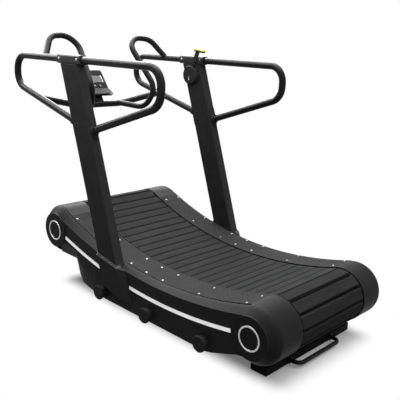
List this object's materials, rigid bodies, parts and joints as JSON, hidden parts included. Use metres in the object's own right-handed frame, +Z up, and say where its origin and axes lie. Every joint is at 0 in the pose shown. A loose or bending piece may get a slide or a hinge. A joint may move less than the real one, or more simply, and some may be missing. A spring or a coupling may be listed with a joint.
{
  "type": "curved manual treadmill",
  "caption": "Curved non-motorised treadmill with a slatted belt, leaning uprights, looped handrails, inner horns, a small console, a resistance lever and band pegs.",
  "frame": {"origin": "on the floor, at the middle of the machine's length and width", "axes": "+X towards the rear, the way the top of the belt moves; +Y to the runner's right; +Z up"},
  "size_m": [1.956, 0.946, 1.4119],
  "materials": {
    "frame_steel": "satin powder coat",
    "upright_paint": "satin powder coat",
    "clamp_plastic": "matte moulded",
    "cover_plastic": "matte moulded",
    "cap_plastic": "fine grained",
    "tread_plastic": "diagonal anti-slip pattern",
    "slat_rubber": "matte, fine grained",
    "belt_rubber": "matte",
    "roller_plastic": "smooth moulded",
    "bright_steel": "bright zinc",
    "bearing_iron": "painted casting",
    "silver_trim": "silver film",
    "collar_grey": "matte moulded",
    "screen_grey": "clear window over a grey display",
    "button_grey": "soft touch",
    "yellow_cap": "glossy moulded"
  },
  "bodies": {
    "frame": {"left_frame": "frame_steel", "right_frame": "frame_steel", "cross_tubes": "frame_steel", "track_rollers": "roller_plastic", "axle_bearings": "bearing_iron", "brake_cable": "belt_rubber", "drive_belts": "belt_rubber", "belt_slats": "slat_rubber", "left_side_cover": "cover_plastic", "right_side_cover": "cover_plastic", "left_tread": "tread_plastic", "right_tread": "tread_plastic", "left_front_cap": "cap_plastic", "right_front_cap": "cap_plastic", "left_rear_cap": "cap_plastic", "right_rear_cap": "cap_plastic", "cap_rings": "silver_trim", "side_stripes": "silver_trim", "tread_screws": "bright_steel", "left_upright": "upright_paint", "right_upright": "upright_paint", "left_boot": "clamp_plastic", "right_boot": "clamp_plastic", "boot_collars": "collar_grey", "left_handrail": "upright_paint", "right_handrail": "upright_paint", "left_rail_clamp": "clamp_plastic", "right_rail_clamp": "clamp_plastic", "clamp_bolts": "bright_steel", "rail_bosses": "clamp_plastic", "left_horn": "upright_paint", "right_horn": "upright_paint", "crossbar": "upright_paint", "console_bracket": "upright_paint", "console_case": "clamp_plastic", "console_screen": "screen_grey", "dial_housing": "clamp_plastic", "band_pegs": "clamp_plastic", "peg_screws": "bright_steel", "rear_foot_bar": "frame_steel", "lift_handle": "frame_steel", "front_foot_bar": "frame_steel", "wheel_bolts": "bright_steel", "foot_pads": "belt_rubber"},
    "front_drive": {"front_axle": "bright_steel", "left_front_pulley": "roller_plastic", "right_front_pulley": "roller_plastic", "brake_disc": "bright_steel"},
    "rear_drive": {"rear_axle": "bright_steel", "left_rear_pulley": "roller_plastic", "right_rear_pulley": "roller_plastic"},
    "lever": {"resistance_lever": "upright_paint", "lever_cap": "yellow_cap"},
    "magnet_arm": {"magnet_bracket": "frame_steel", "brake_magnets": "bright_steel"},
    "button_left": {"left_button": "button_grey"},
    "button_middle": {"middle_button": "button_grey"},
    "button_right": {"right_button": "button_grey"},
    "wheel_left": {"left_wheel": "roller_plastic"},
    "wheel_right": {"right_wheel": "roller_plastic"}
  },
  "joints": [
    {"name": "front_spin", "type": "hinge", "parent": "frame", "child": "front_drive", "pos_m": [-0.599, 0, 0.325], "axis": [0, 1, 0], "continuous": true},
    {"name": "rear_spin", "type": "hinge", "parent": "frame", "child": "rear_drive", "pos_m": [0.843, 0, 0.22], "axis": [0, 1, 0], "continuous": true},
    {"name": "lever_swing", "type": "hinge", "parent": "frame", "child": "lever", "pos_m": [-0.39283, 0.388, 1.194], "axis": [0, 1, 0], "range_deg": [-60, 10]},
    {"name": "magnet_swing", "type": "hinge", "parent": "frame", "child": "magnet_arm", "pos_m": [-0.449, 0.346, 0.291], "axis": [0, 1, 0], "range_deg": [-18, 3]},
    {"name": "press_left", "type": "slide", "parent": "frame", "child": "button_left", "axis": [-0.788, 0, -0.6157], "range_m": [0, 0.0015], "stiffness_N_per_m": 400, "springref_m": -0.001},
    {"name": "press_middle", "type": "slide", "parent": "frame", "child": "button_middle", "axis": [-0.788, 0, -0.6157], "range_m": [0, 0.0015], "stiffness_N_per_m": 400, "springref_m": -0.001},
    {"name": "press_right", "type": "slide", "parent": "frame", "child": "button_right", "axis": [-0.788, 0, -0.6157], "range_m": [0, 0.0015], "stiffness_N_per_m": 400, "springref_m": -0.001},
    {"name": "wheel_left_spin", "type": "hinge", "parent": "frame", "child": "wheel_left", "pos_m": [-0.45, -0.285, 0.032], "axis": [0, 1, 0], "continuous": true},
    {"name": "wheel_right_spin", "type": "hinge", "parent": "frame", "child": "wheel_right", "pos_m": [-0.45, 0.285, 0.032], "axis": [0, 1, 0], "continuous": true}
  ],
  "couplings": [
    {"joint": "rear_spin", "follows": "front_spin", "ratio": 1},
    {"joint": "magnet_swing", "follows": "lever_swing", "ratio": 0.3}
  ]
}
